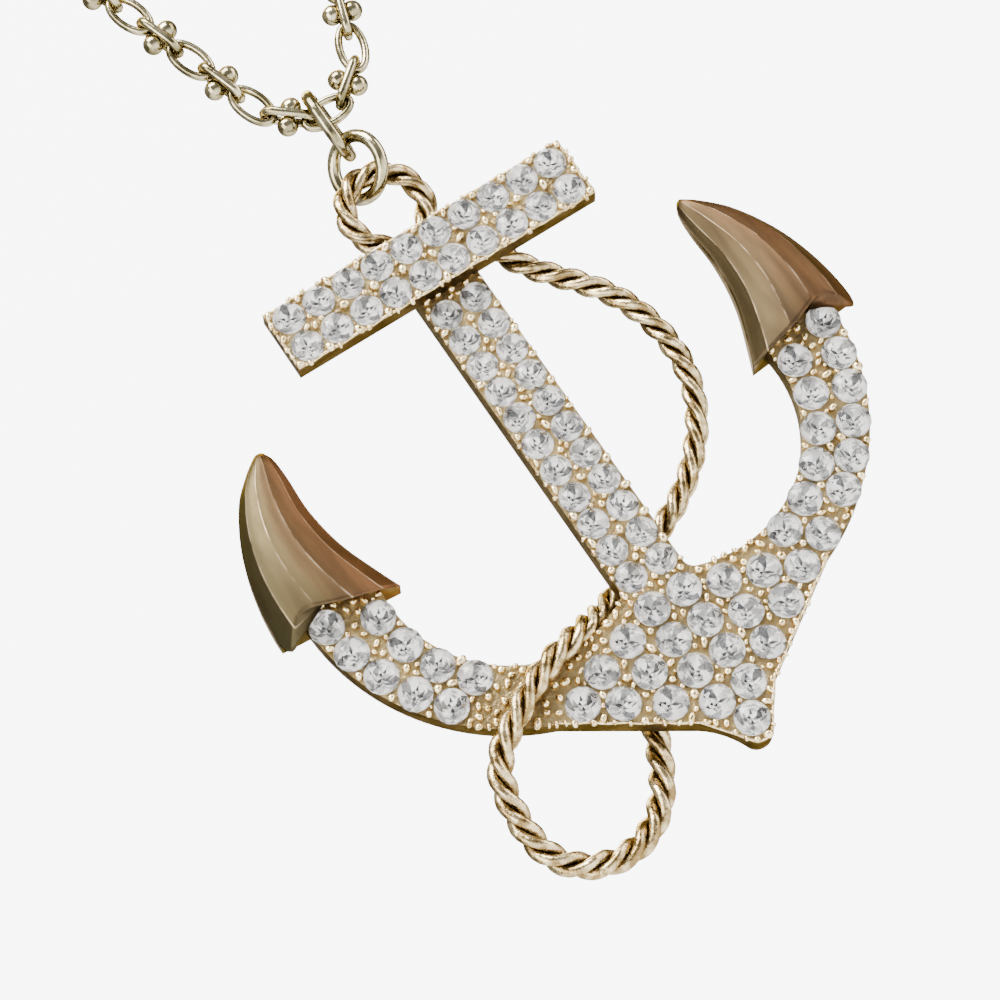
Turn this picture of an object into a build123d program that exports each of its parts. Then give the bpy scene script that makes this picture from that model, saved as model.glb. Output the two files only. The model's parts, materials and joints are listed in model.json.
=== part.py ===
from build123d import *
import os
from math import atan2, ceil, cos, degrees, hypot, pi, radians, sin, sqrt

# Anchor necklace. Millimetres, +Z up, the stone side faces -Y.
# The anchor is drawn about the middle of its stock, and everything is set at the end
# so that the origin lies where the chain rests on a neck, under the clasp.

# Stones and their seats
stone_d = 2.75
stone_crown = 0.62
stone_girdle = 0.16
stone_depth = 1.05
stone_table = 0.56        # table width as a share of the stone's
stone_sides = 8
seat_gap = 0.04
stone_gap = 0.1           # least metal between two seats
stone_pitch = 2.9         # least distance between stones along the shank and the stock
crown_pitch = 3.37        # down the crown's columns
arm_outer_first = 4.5     # degrees below the horizontal, the arms' outer row
arm_outer_step = 9.6
arm_inner_first = 3.0
arm_inner_step = 14.0
arm_stones = 6
row_gap = 0.4             # between the two rows of the shank and the stock
rim = 0.2                 # metal outside the outer row

# Anchor casting: shank, crown and arms
plate_t = 2.6
anchor_drop = 53.9        # from the stock's middle to the crown's tip
shank_head = 0.8          # the shank's top above the stock's middle, hidden behind the stock
shank_foot = 35.1         # its last pair of stones below the stock's middle
bow_x = 8.1               # centre of an arm's inner curve
bow_z = -25.4
bow_r = 12.65
back_x = 6.57             # centre of an arm's outer curve
back_z = -22.82
back_r = 21.45
arm_rim = 0.05
arm_top_in = -23.2        # heights of the arm's end, hidden inside the fluke
arm_top_out = -21.5
armpit_r = 1.2
crown_knee = 14.35        # where the outer curve meets the crown's straight edge
crown_waist = 4.0         # half width where the straight edge turns into the tip
crown_waist_z = -49.55
tip_half = 1.35
tip_rise = 0.95
back_edge_r = 0.35

# Stock
stock_len = 31.8
stock_t = 2.0
stock_end = 0.45          # metal beyond the last stone

# Flukes
fluke_h = 17.6
fluke_t = 4.9
fluke_in_lip = 1.9        # overhang past the arm's inner edge
fluke_out_lip = 2.3
fluke_gap = 0.1
fluke_base_z = -24.5

# Twisted wire
wire_r = 1.15
strands = 3
lay_length = 7.2          # one full turn of the strands
rings_per_lay = 9
solder_gap = 0.1
shackle_r = 3.8
shackle_bar_z = 11.0      # the shackle's top centreline above the stock's middle
shackle_turn = 10.0       # degrees, its right side towards the back
rope_clear = 0.75         # bare metal between the front rope and a stone

# Ring and bail
ring_r = 2.95
ring_wire_r = 0.62
ring_turn = -48.0
bail_half_w = 2.5
bail_h = 6.9              # between its end wires' centres
bail_wire_r = 0.6
bail_turn = -105.0
hang_gap = 0.12
# The pendant's weight hangs under this point of the shackle's bar
hang_x = -0.25
hang_y = -0.4

# Chain
link_wire_r = 0.45
link_half_w = 1.025       # to the wire's centre
link_half_l = 2.4
ball_r = 1.0
ball_rise = 0.95
bail_to_link = 0.65      # the bail hangs left of the lowest link's middle
first_rise = 40.0         # degrees, the ball links beside the lowest link
strand_rise = 72.0        # degrees, the straight strands
pairs_per_side = 33       # ball link and plain link
clasp_barrel_r = 1.9
clasp_barrel_l = 8.0

stone_r = stone_d / 2
seat_r = stone_r + seat_gap
shank_w = 2 * stone_d + row_gap + 2 * rim
stock_h = shank_w
row_x = (stone_d + row_gap) / 2
half_span = back_x + back_r
front_y = -plate_t / 2
back_y = plate_t / 2
wire_offset = back_y + wire_r + solder_gap
mirror_sides = (-1, 1)


def arc_point(cx, cz, r, below):
    """A point on a circle, at an angle below the horizontal."""
    return cx + r * cos(radians(below)), cz - r * sin(radians(below))


def at_height(cx, cz, r, z):
    """Where a circle's right side has this height."""
    return cx + sqrt(r * r - (z - cz) ** 2), z


def below_at(cx, cz, r, x):
    """Where a circle's lower side has this x."""
    return x, cz - sqrt(r * r - (x - cx) ** 2)


def in_front(points, y=0.0):
    return [Vector(x, y, z) for x, z in points]


def middle_of_arc(cx, cz, r, start, end):
    """The point halfway along a circle's arc between two of its points."""
    a = atan2(start[1] - cz, start[0] - cx)
    b = atan2(end[1] - cz, end[0] - cx)
    return cx + r * cos((a + b) / 2), cz + r * sin((a + b) / 2)


def solid_from_faces(faces):
    body = Solid(Shell(faces))
    return body if body.volume > 0 else Solid(Shell([-f for f in faces]))


def flat_face(points):
    return Face(Wire.make_polygon(points))


def anchor_outline():
    """Front view of shank, crown and arms: the right half, mirrored."""
    half_shank = shank_w / 2
    pit = below_at(bow_x, bow_z, bow_r, half_shank)
    arm_in = at_height(bow_x, bow_z, bow_r, arm_top_in)
    arm_out = at_height(back_x, back_z, back_r, arm_top_out)
    knee = below_at(back_x, back_z, back_r, crown_knee)
    waist = (crown_waist, crown_waist_z)
    tip = (0.0, -anchor_drop)
    shoulder = (tip_half, -anchor_drop + tip_rise)
    flank = ((waist[0] + shoulder[0]) / 2 - 0.35, (waist[1] + shoulder[1]) / 2)
    tip_side = (tip_half * 0.62, -anchor_drop + tip_rise * 0.25)
    bow_mid = middle_of_arc(bow_x, bow_z, bow_r, pit, arm_in)
    back_mid = middle_of_arc(back_x, back_z, back_r, arm_out, knee)
    runs = [
        Line(*in_front([(0, shank_head), (half_shank, shank_head)])),
        Line(*in_front([(half_shank, shank_head), pit])),
        ThreePointArc(*in_front([pit, bow_mid, arm_in])),
        Line(*in_front([arm_in, arm_out])),
        ThreePointArc(*in_front([arm_out, back_mid, knee])),
        Line(*in_front([knee, waist])),
        ThreePointArc(*in_front([waist, flank, shoulder])),
        ThreePointArc(*in_front([shoulder, tip_side, tip])),
        Line(*in_front([tip, (0, shank_head)])),
    ]
    right = make_face(runs)
    land = [  # the casting is fuller under the rope: shares of the bow's radius from its middle and foot
        (-0.120, 0.0445), (0.308, 0.0296), (0.308, -0.188),
    ]
    foot = bow_z - bow_r
    root = -0.93 * half_shank
    b, c, d = in_front([(-bow_x - across * bow_r, foot + up * bow_r) for across, up in land])
    a, e = in_front([(root, foot + 0.166 * bow_r), (root, d.Z)])
    under_rope = make_face([ThreePointArc(a, b, c), Polyline(c, d, e, a)])
    return right + mirror(right, Plane.YZ) + under_rope


def wire_route():
    """The rope's centreline: shares of half the span, the drop and the depth to the back."""
    table = [  # across, height, depth
        (0.200, -0.022, -0.02),
        (0.262, -0.084, 0.00),
        (0.423, -0.188, 0.12),
        (0.509, -0.306, 0.30),
        (0.498, -0.403, 0.52),
        (0.393, -0.499, 0.78),
        (0.207, -0.573, 1.00),
        (0.000, -0.618, 1.00),
        (-0.129, -0.648, 0.96),
        (-0.275, -0.680, -0.45),
        (-0.400, -0.701, -1.00),
        (-0.533, -0.728, -1.03),
        (-0.618, -0.753, -1.00),
        (-0.731, -0.799, -0.75),
        (-0.777, -0.886, -0.30),
        (-0.741, -0.975, 0.10),
        (-0.566, -1.025, 0.45),
        (-0.381, -0.988, 0.80),
        (-0.293, -0.926, 1.00),
        (-0.234, -0.858, 1.00),
    ]
    return Spline(*[Vector(x * half_span, d * wire_offset, z * anchor_drop) for x, z, d in table])


def lobes():
    """The rope's section: one lobe a strand, as radius shares round the section."""
    valley = 0.66
    flat = 20.0
    step = 360.0 / strands
    ring = []
    for k in range(strands):
        ring += [(k * step - step / 2, valley), (k * step - flat, 1.0), (k * step + flat, 1.0)]
    return ring


def twisted_wire(route, length, closed):
    """Strands laid left-handed round a route, in flat facets."""
    turns = length / lay_length
    if closed:
        turns = round(turns)
    count = ceil(turns * rings_per_lay)
    stations = [k / count for k in range(count if closed else count + 1)]
    side = None
    rings = []
    for s in stations:
        centre = route.position_at(s)
        ahead = route.tangent_at(s)
        if side is None:
            side = Vector(0, 1, 0)
        side = (side - ahead * side.dot(ahead)).normalized()
        other = ahead.cross(side)
        ring = []
        for angle, share in lobes():
            a = radians(angle) - 2 * pi * turns * s
            ring.append(centre + (side * cos(a) + other * sin(a)) * (wire_r * share))
        rings.append(ring)
    faces = []
    n = len(rings[0])
    if closed:
        rings.append(rings[0])
    for low, high in zip(rings, rings[1:]):
        for i in range(n):
            j = (i + 1) % n
            faces.append(flat_face([low[i], low[j], high[i]]))
            faces.append(flat_face([low[j], high[j], high[i]]))
    if not closed:
        faces += [flat_face(rings[0][::-1]), flat_face(rings[-1])]
    return solid_from_faces(faces)


def stone():
    """A round cut stone, table towards -Y, girdle's upper edge at y = 0."""
    def ring(radius, y):
        angles = [2 * pi * (k + 0.5) / stone_sides for k in range(stone_sides)]
        return [Vector(radius * cos(a), y, radius * sin(a)) for a in angles]

    table = ring(stone_r * stone_table, -stone_crown)
    girdle = ring(stone_r, 0)
    under = ring(stone_r, stone_girdle)
    point = Vector(0, stone_girdle + stone_depth, 0)
    faces = [flat_face(table)]
    for i in range(stone_sides):
        j = (i + 1) % stone_sides
        faces.append(flat_face([table[i], table[j], girdle[j], girdle[i]]))
        faces.append(flat_face([girdle[i], girdle[j], under[j], under[i]]))
        faces.append(flat_face([under[i], under[j], point]))
    return solid_from_faces(faces)


def seat(x, z, y):
    """The pocket that a stone sits in, straight along its girdle and then conical, open towards -Y."""
    slope = stone_depth / stone_r
    foot_r = seat_gap
    wall = stone_girdle + seat_gap
    rise = stone_crown
    cone_h = (seat_r - foot_r) * slope
    mouth = Pos(0, 0, cone_h) * Cylinder(seat_r, wall + rise, align=(Align.CENTER, Align.CENTER, Align.MIN))
    cone = Cone(foot_r, seat_r, cone_h, align=(Align.CENTER, Align.CENTER, Align.MIN))
    return Pos(x, y + wall + cone_h, z) * Rot(90, 0, 0) * (mouth + cone)


def room_for(spot, placed, rope_front):
    """True where a stone touches neither its neighbours nor the rope in front."""
    apart = 2 * seat_r + stone_gap
    if any(hypot(spot[0] - x, spot[1] - z) < apart for x, z in placed):
        return False
    keep = stone_r + wire_r + rope_clear
    return not any(hypot(spot[0] - x, spot[1] - z) < keep for x, z in rope_front)


def spread(first, last, least):
    """As many places as fit between two ends, evenly spaced and at least this far apart."""
    count = int((last - first) / least) + 1
    return [first + (last - first) * k / (count - 1) for k in range(count)]


def stock_spots():
    end = stock_len / 2 - stock_end - seat_r
    return [(x, z) for x in spread(-end, end, stone_pitch) for z in (row_x, -row_x)]


def shank_spots():
    first = stock_h / 2 + seat_r + rim + row_gap
    return [(side * row_x, -drop) for drop in spread(first, shank_foot, stone_pitch) for side in mirror_sides]


def crown_spots(rope_front):
    """Arms in two rows, then the crown in columns, wherever there is room."""
    outer_r = back_r - arm_rim - seat_r
    inner_r = bow_r + arm_rim + seat_r
    wanted = []
    for k in range(arm_stones):
        wanted.append(arc_point(back_x, back_z, outer_r, arm_outer_first + arm_outer_step * k))
    for k in range(arm_stones):
        wanted.append(arc_point(bow_x, bow_z, inner_r, arm_inner_first + arm_inner_step * k))
    columns = [  # across as a share of the half width, height as a share of the drop, count
        (1.06, -0.716, 4),
        (3.25, -0.740, 3),
        (5.44, -0.761, 2),
        (7.38, -0.789, 1),
        (9.44, -0.762, 1),
    ]
    for across, height, count in columns:
        for k in range(count):
            wanted.append((across * row_x, height * anchor_drop - k * crown_pitch))
    placed = []
    for x, z in wanted:
        for side in mirror_sides:
            if room_for((side * x, z), placed, rope_front):
                placed.append((side * x, z))
    placed.append((0.0, -0.957 * anchor_drop))
    return placed


def stones_at(spots, y):
    pattern = stone()
    return Compound(children=[pattern.moved(Location((x, y, z))) for x, z in spots])


def anchor_body(spots):
    plate = extrude(anchor_outline(), amount=plate_t / 2, dir=(0, 1, 0), both=True)
    pit = [e for e in plate.edges().filter_by(Axis.Y)
           if abs(e.center().X - shank_w / 2) < 0.01 and e.center().Z < -plate_t]
    plate = fillet(pit, armpit_r)
    rear = [e for e in plate.faces().sort_by(Axis.Y)[-1].edges() if e.center().Z < arm_top_in]
    plate = fillet(rear, back_edge_r)
    return plate - [seat(x, z, front_y) for x, z in spots]


def stock_bar(spots):
    front = front_y - stock_t
    bar = Pos(0, front + stock_t / 2, 0) * Box(stock_len, stock_t, stock_h)
    bar = chamfer(bar.faces().sort_by(Axis.Y)[0].edges(), rim * 0.5)
    return bar - [seat(x, z, front) for x, z in spots]


def fluke(side):
    """A ridged horn over the arm's end: sections from its base to its tip."""
    inner = at_height(bow_x, bow_z, bow_r, fluke_base_z)[0] - fluke_in_lip
    outer = at_height(back_x, back_z, back_r, fluke_base_z)[0] + fluke_out_lip
    width = outer - inner
    sections = [  # height, inner edge and outer edge across the base, depth, back
        (-0.06, -0.030, 0.985, 1.00, 0.00),
        (0.12, 0.085, 1.000, 0.98, 0.00),
        (0.36, 0.215, 0.955, 0.88, 0.02),
        (0.60, 0.270, 0.845, 0.72, 0.05),
        (0.83, 0.262, 0.650, 0.52, 0.10),
        (0.95, 0.276, 0.465, 0.37, 0.14),
        (1.00, 0.312, 0.362, 0.22, 0.18),
    ]
    ridges = [  # share across, share of the depth
        (0.00, 0.46), (0.13, 0.74), (0.36, 0.95), (0.62, 1.00), (0.85, 0.84), (1.00, 0.42),
    ]
    wires = []
    for height, left, right, depth, back in sections:
        z = fluke_base_z + height * fluke_h
        rear = back_y - back * fluke_t
        span = (right - left) * width
        start = inner + left * width
        front = [(start + u * span, rear - h * depth * (fluke_t - back * fluke_t)) for u, h in ridges]
        corners = [(start, rear)] + front + [(start + span, rear)]
        wires.append(Wire.make_polygon([Vector(side * x, y, z) for x, y in corners]))
    horn = Solid.make_loft(wires)
    arch = [  # share across the base, rise as a share of the height
        (-0.25, -0.010), (0.02, 0.000), (0.25, 0.020), (0.46, 0.050), (0.70, 0.106), (0.80, 0.098),
        (0.90, 0.045), (0.955, 0.035), (1.00, 0.075), (1.03, 0.140),
    ]
    edge = Spline(*[Vector(side * (inner + u * width), 0, fluke_base_z + r * fluke_h) for u, r in arch])
    low = fluke_base_z - 0.3 * fluke_h
    ends = [edge.position_at(1), Vector(edge.position_at(1).X, 0, low),
            Vector(edge.position_at(0).X, 0, low), edge.position_at(0)]
    below = extrude(make_face([edge, Polyline(*ends)]), amount=2 * fluke_t, dir=(0, 1, 0), both=True)
    return horn - below - arm_end(side)


def arm_end(side):
    """The arm's end with its clearance, to hollow the fluke's underside."""
    low = fluke_base_z - 4
    small = bow_r - fluke_gap
    large = back_r + fluke_gap
    corners = [
        at_height(bow_x, bow_z, small, low),
        at_height(bow_x, bow_z, small, arm_top_in + fluke_gap),
        at_height(back_x, back_z, large, arm_top_out + fluke_gap),
        at_height(back_x, back_z, large, low),
    ]
    points = [Vector(side * x, 0, z) for x, z in corners]
    inner = middle_of_arc(bow_x, bow_z, small, corners[0], corners[1])
    outer = middle_of_arc(back_x, back_z, large, corners[2], corners[3])
    band = make_face([
        ThreePointArc(points[0], Vector(side * inner[0], 0, inner[1]), points[1]),
        Line(points[1], points[2]),
        ThreePointArc(points[2], Vector(side * outer[0], 0, outer[1]), points[3]),
        Line(points[3], points[0]),
    ])
    deep = plate_t / 2 + fluke_gap
    return extrude(band, amount=deep, dir=(0, 1, 0), both=True)


def oval(half_w, half_l, wire):
    """A closed oval of round wire in the XZ plane, long along X."""
    straight = half_l - half_w
    start = Plane(origin=(straight, 0, 0), x_dir=(0, 1, 0), z_dir=(1, 0, 0))
    end = revolve(start * Pos(0, half_w) * Circle(wire), Axis((straight, 0, 0), (0, 1, 0)), 180)
    bar = Pos(0, 0, half_w) * Rot(0, 90, 0) * Cylinder(wire, 2 * straight)
    half = end + bar
    return half + Rot(0, 180, 0) * half


def plain_link():
    return oval(link_half_w, link_half_l, link_wire_r)


def ball_link():
    """A link turned flat, with a ball soldered over and under its middle."""
    link = Rot(90, 0, 0) * plain_link()
    return link + [Pos(0, 0, s * ball_rise) * Sphere(ball_r) for s in mirror_sides]


def clasp(half_gap):
    """One plain barrel with an eye at each end, in line with the chain."""
    eye_x = half_gap - link_half_w
    barrel = Rot(0, 90, 0) * Cylinder(clasp_barrel_r, 2 * (eye_x - link_half_w))
    barrel = fillet(barrel.edges().filter_by(GeomType.CIRCLE), clasp_barrel_r * 0.6)
    eyes = [Pos(s * eye_x, 0, 0) * Torus(link_half_w, link_wire_r) for s in mirror_sides]
    return barrel + eyes


def chain_half():
    """Pivots and headings of the right half of the chain, from the lowest link up to the clasp."""
    plain_step = 2 * (link_half_l - link_half_w)
    ball_step = 2 * link_half_l
    rise = radians(strand_rise)
    start = (plain_step / 2 + ball_step * cos(radians(first_rise)), ball_step * sin(radians(first_rise)))
    length = pairs_per_side * (plain_step + ball_step) - ball_step
    goal = clasp_barrel_l / 2 + 2 * link_half_w
    # straight + neck_r * turn = length, and the end comes to the goal beside the middle
    turn = pi - rise
    neck_r = (start[0] + length * cos(rise) - goal) / (turn * cos(rise) + sin(rise))
    straight = length - neck_r * turn
    x, z = plain_step / 2, 0.0
    links = []
    travelled = -ball_step
    for k in range(2 * pairs_per_side):
        step = ball_step if k % 2 == 0 else plain_step
        if k == 0:
            heading = radians(first_rise)
        else:
            past = max(0.0, travelled + step / 2 - straight)
            heading = rise + past / neck_r
        links.append((k % 2 == 0, x + step / 2 * cos(heading), z + step / 2 * sin(heading), heading))
        x += step * cos(heading)
        z += step * sin(heading)
        travelled += step
    return links, x, z


def set_links(links, side, origin):
    ball, plain = ball_link(), plain_link()
    placed = []
    for has_balls, x, z, heading in links:
        angle = heading if side > 0 else pi - heading
        spot = Location(origin + Vector(side * x, 0, z), (0, -degrees(angle), 0))
        placed.append((ball if has_balls else plain).moved(spot))
    return placed


# Places, from the stock's middle
bar = Vector(hang_x, hang_y, shackle_bar_z)
ring_centre = bar + Vector(0, 0, ring_r - wire_r - ring_wire_r - hang_gap)
bail_low = ring_centre + Vector(0, 0, ring_r - ring_wire_r - bail_wire_r - hang_gap)
link_drop = bail_wire_r + hang_gap + link_half_w + link_wire_r
lowest_link = bail_low + Vector(bail_to_link, 0, bail_h - link_drop)
links, end_x, end_z = chain_half()
neck_rest = lowest_link + Vector(0, 0, end_z - clasp_barrel_r)
home = Location(-neck_rest)

# Shackle: a ring of twisted wire, leaning so that its bar lies over the pendant's weight
shackle_foot_y = front_y + wire_r + solder_gap + 0.36
lean = degrees(atan2(shackle_foot_y - hang_y, 2 * shackle_r))
shackle_place = Pos(bar) * Rot(0, 0, shackle_turn) * Rot(lean, 0, 0) * Pos(0, 0, -shackle_r)
shackle_ring = shackle_place * Rot(90, 0, 0) * Edge.make_circle(shackle_r)

rope_line = wire_route()
samples = [rope_line.position_at(k / 200) for k in range(201)]
rope_front = [(p.X, p.Z) for p in samples if p.Y < -wire_r]

stock_places = stock_spots()
shank_places = shank_spots()
crown_places = crown_spots(rope_front)

ring_place = Pos(ring_centre) * Rot(0, 0, ring_turn) * Rot(90, 0, 0)
middle_link = [plain_link().moved(Location(lowest_link))]
bail_place = Pos(bail_low + Vector(0, 0, bail_h / 2)) * Rot(0, 0, bail_turn)

parts = {
    "anchor_body": anchor_body(shank_places + crown_places),
    "stock_bar": stock_bar(stock_places),
    "fluke_left": fluke(-1),
    "fluke_right": fluke(1),
    "rope": twisted_wire(rope_line, rope_line.length, False),
    "shackle": twisted_wire(shackle_ring, 2 * pi * shackle_r, True),
    "stones_stock": stones_at(stock_places, front_y - stock_t),
    "stones_shank": stones_at(shank_places, front_y),
    "stones_crown": stones_at(crown_places, front_y),
    "jump_ring": ring_place * Torus(ring_r, ring_wire_r),
    "bail": bail_place * Rot(0, 90, 0) * oval(bail_half_w, bail_h / 2, bail_wire_r),
    "chain_right": Compound(children=middle_link + set_links(links, 1, lowest_link)),
    "chain_left": Compound(children=set_links(links, -1, lowest_link)),
    "clasp": Pos(lowest_link + Vector(0, 0, end_z)) * clasp(end_x),
}

os.makedirs("parts", exist_ok=True)
for name, shape in parts.items():
    export_step(shape.moved(home), f"parts/{name}.step")

print("stones", len(stock_places), len(shank_places), len(crown_places))
print("neck rest at", neck_rest, "clasp half gap", end_x)
print("front swing pivot", bar - neck_rest, "side swing pivot", bail_low - neck_rest)
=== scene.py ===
import json
import math
import random

import bmesh
import bpy
from mathutils import Matrix, Vector
from mathutils.bvhtree import BVHTree
from mathutils.kdtree import KDTree

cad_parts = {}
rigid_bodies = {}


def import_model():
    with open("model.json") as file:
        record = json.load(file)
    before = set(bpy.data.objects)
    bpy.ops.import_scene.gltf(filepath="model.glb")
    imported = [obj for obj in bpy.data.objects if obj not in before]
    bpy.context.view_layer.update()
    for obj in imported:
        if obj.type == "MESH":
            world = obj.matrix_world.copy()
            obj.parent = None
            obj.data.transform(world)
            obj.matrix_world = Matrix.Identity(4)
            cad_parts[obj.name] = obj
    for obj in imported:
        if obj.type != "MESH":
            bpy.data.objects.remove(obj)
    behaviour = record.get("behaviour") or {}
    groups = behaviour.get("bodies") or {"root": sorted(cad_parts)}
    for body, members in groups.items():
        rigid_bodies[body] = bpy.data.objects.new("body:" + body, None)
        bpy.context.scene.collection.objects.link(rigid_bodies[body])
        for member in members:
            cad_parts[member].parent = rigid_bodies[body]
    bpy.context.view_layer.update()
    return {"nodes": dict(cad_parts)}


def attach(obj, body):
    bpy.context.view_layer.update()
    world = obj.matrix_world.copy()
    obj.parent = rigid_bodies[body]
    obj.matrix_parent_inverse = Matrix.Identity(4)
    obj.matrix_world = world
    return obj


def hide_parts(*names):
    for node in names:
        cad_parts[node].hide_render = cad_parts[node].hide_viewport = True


# Anchor necklace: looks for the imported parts. Sizes are written in millimetres and used in metres.
MM = 0.001

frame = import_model()

# The anchor is measured from the middle of its stock, whose face lies 3.3 in front of that point
STOCK_FACE = -3.3
across, depth, height = zip(*(v.co for v in frame["nodes"]["stock_bar"].data.vertices))
STOCK_MIDDLE = Vector((
    (min(across) + max(across)) / 2 / MM,
    min(depth) / MM - STOCK_FACE,
    (min(height) + max(height)) / 2 / MM))

# Anchor: places are (across, height), circles (across, height, radius)
STOCK_HALF = (15.9, 3.15)
PLATE_FACE = -1.3
SAME_FACE = 0.5             # what differs less in depth lies on the same face
BOW = (8.1, -25.4, 12.65)
BACK = (6.57, -22.82, 21.45)
CROWN_KNEE = 14.35
CROWN_WAIST = (4.0, -49.55)
CROWN_FOOT = [(2.9, -50.9), (2.2, -51.9), (1.35, -52.95), (0.8, -53.7)]
TIP = (0.0, -53.9)

# Flukes: widths are shares of the base from its inner edge, heights shares of the whole height
FLUKE_BASE = -24.5
FLUKE_H = 17.6
FLUKE_T = 4.9
FLUKE_LIPS = (1.9, 2.3)
FLUKE_SWELL = 0.45          # the left one is fuller at its outer edge
FLUKE_FLAT = 0.3            # the section is part flat facets
FLUKE_ROUND = 0.7           # and part a smooth curve through the ridges
FLUKE_RIDGE_RISE = 0.006
FLUKE_FACET = (0.0, 0.05, 0.25, 0.5, 0.75, 0.95)  # the columns of points from one ridge to the next
FLUKE_ROWS = 40
FLUKE_LIP_IN = 0.07
FLUKE_HOLLOW = 1.5          # how far up the base is hollow
FLUKE_PAINTED_SHADE = 0.35         # painted shade, which darkens the right one against the brighter light it reflects
FLUKE_SECTIONS = [  # height, inner edge, outer edge, depth, back
    (-0.06, -0.030, 0.985, 1.00, 0.00),
    (0.12, 0.085, 1.000, 0.98, 0.00),
    (0.36, 0.215, 0.955, 0.88, 0.02),
    (0.60, 0.270, 0.845, 0.72, 0.05),
    (0.83, 0.262, 0.650, 0.52, 0.10),
    (0.95, 0.276, 0.465, 0.37, 0.14),
    (1.00, 0.312, 0.362, 0.22, 0.18),
]
# across and depth of each ridge
FLUKE_RIDGES = [(0.00, 0.46), (0.13, 0.74), (0.36, 0.95), (0.62, 1.00), (0.85, 0.84), (1.00, 0.42)]
FLUKE_ARCH = [  # across and height of the base's edge
    (-0.25, -0.010), (0.02, 0.000), (0.25, 0.020), (0.46, 0.050), (0.70, 0.106), (0.81, 0.100),
    (0.88, 0.052), (0.93, 0.010), (0.965, -0.008), (0.99, 0.025), (1.00, 0.060), (1.03, 0.160),
]

# Stones
STONE_D = 2.95              # along the rows
STONE_D_MOST = 3.25         # where the stones stand further apart
STONE_APART = 0.06
STONE_CROWN = 0.62          # from girdle to table in the CAD solids
STONE_TABLE = 0.57          # and in the stones cut here
STONE_GIRDLE = 0.16
STONE_DEPTH = 0.98
STONE_LIFT = 0.12
STONE_STAND = 1.45          # how much higher a stone stands for each millimetre wider than its seat
STONE_TILT = 0.05
SEAT_R = 1.415
FOIL_EDGE = 0.3             # the silvering starts at this share of the girdle

# Beads
BEAD_REACH = 4.2            # how far from a stone's middle they may lie
BEAD_STEP = 0.12            # the grid on which places are tried
BEAD_ROOM = 0.16            # the least room
BEAD_OVER = 0.12            # how far they may lean over a stone's edge
BEAD_MOST = 0.52
BEAD_MOST_AT_EDGE = 0.36
BEAD_EDGE = 0.32            # how far from a place the metal's edge counts
BEAD_SMALL = 0.4            # smaller beads stand closer together
BEAD_CELL = 1.0
BEAD_HIGH = 0.34
BEAD_RAISE = 0.08
BARE_ROOM = 0.6             # further than this from the stones there are none under the rope,
BARE_HALF = 1.0             # on this much to either side of its middle

# Rims
RIM_R = 0.14
RIM_INSET = 0.12
RIM_WAVE = 0.05
RIM_PERIOD = 3.1            # the pitch of the stones
RIM_RAISE = 0.02
RIM_STEP = 0.35

# Twisted wire
STRAND_R = 0.56
STRAND_OFFSET = 0.59
STRAND_SIDES = 10
LAY = 7.2                   # the length of one whole turn
WIRE_STEP = 0.3
HALF_SPAN = 28.02
DROP = 53.9
ROPE_DEPTH = 2.55
ROPE_POINTS = 420
ROPE_FULLER = (0.50, 0.62)  # the stretch over which the rope grows to its end girth
ROPE_END_GIRTH = 1.1
SHACKLE_R = 3.8
SHACKLE_BAR = (-0.25, -0.4, 11.0)
SHACKLE_TURN = 10.0
SHACKLE_LEAN = 5.3
SHACKLE_POINTS = 96
ROPE_ROUTE = [  # across, height and depth, as shares of half the span, the drop and the depth
    (0.200, -0.022, -0.02), (0.262, -0.084, 0.00), (0.423, -0.188, 0.12), (0.509, -0.306, 0.30),
    (0.498, -0.403, 0.52), (0.393, -0.499, 0.78), (0.207, -0.573, 1.00), (0.000, -0.618, 1.00),
    (-0.129, -0.648, 0.96), (-0.275, -0.680, -0.45), (-0.400, -0.701, -1.00), (-0.533, -0.728, -1.03),
    (-0.618, -0.753, -1.00), (-0.731, -0.799, -0.75), (-0.777, -0.886, -0.30), (-0.741, -0.975, 0.10),
    (-0.566, -1.025, 0.45), (-0.381, -0.988, 0.80), (-0.293, -0.926, 1.00), (-0.234, -0.858, 1.00),
]

# Chain
LINK_WIRE = 0.45
LINK_HALF_W = 1.025
LINK_HALF_L = 2.4
LINK_BELLY = 1.17           # half width of the pointed links
LINK_FLATNESS = (0.86, 1.12, 1.0)
LINK_SIDES = 8
BALL_R = 1.0
BALL_RISE = 0.95
FIRST_RISE = math.radians(40)
STRAND_RISE = math.radians(72)
PAIRS = 33
CLASP_R = 1.9
CLASP_REACH = 4.0 + 2 * LINK_HALF_W

# Camera: where it looks, from how far, and how it is turned
LOOK_AT = (-7.019, 0.0, -22.319)
DISTANCE = 309.9
PICTURE_WIDTH = 1000
FOCAL_PIXELS = 3475.2
SENSOR_WIDTH = 36
CLIP_METRES = (0.01, 20)
YAW, PITCH, ROLL = (math.radians(a) for a in (10.85, 16.71, -34.77))

# Studio: the lights face the pendant's middle. Their offsets and sizes and the floor's are metres
PENDANT_MIDDLE = (0, 0, -22)
LIGHTS = [  # name, offset, width and height, watts, colour
    ("overhead", (-0.05, -0.32, 0.50), (0.5, 0.35), 17.0, (1.0, 1.0, 1.0)),
    ("left", (-0.55, -0.45, 0.05), (0.4, 0.7), 10.0, (1.0, 0.96, 0.88)),
    ("right", (0.60, -0.25, 0.10), (0.25, 0.6), 5.0, (1.0, 0.92, 0.85)),
    ("low", (0.0, -0.50, -0.35), (0.6, 0.25), 8.0, (1.0, 0.98, 0.94)),
    ("behind", (0.10, 0.45, 0.70), (0.6, 0.4), 13.0, (1.0, 1.0, 1.0)),
]
FLOOR_DROP = 0.24
FLOOR_HALF = 1.5
SKY = [(0.0, (0.030, 0.030, 0.031)), (0.45, (0.055, 0.055, 0.057)), (1.0, (0.110, 0.111, 0.115))]
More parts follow.
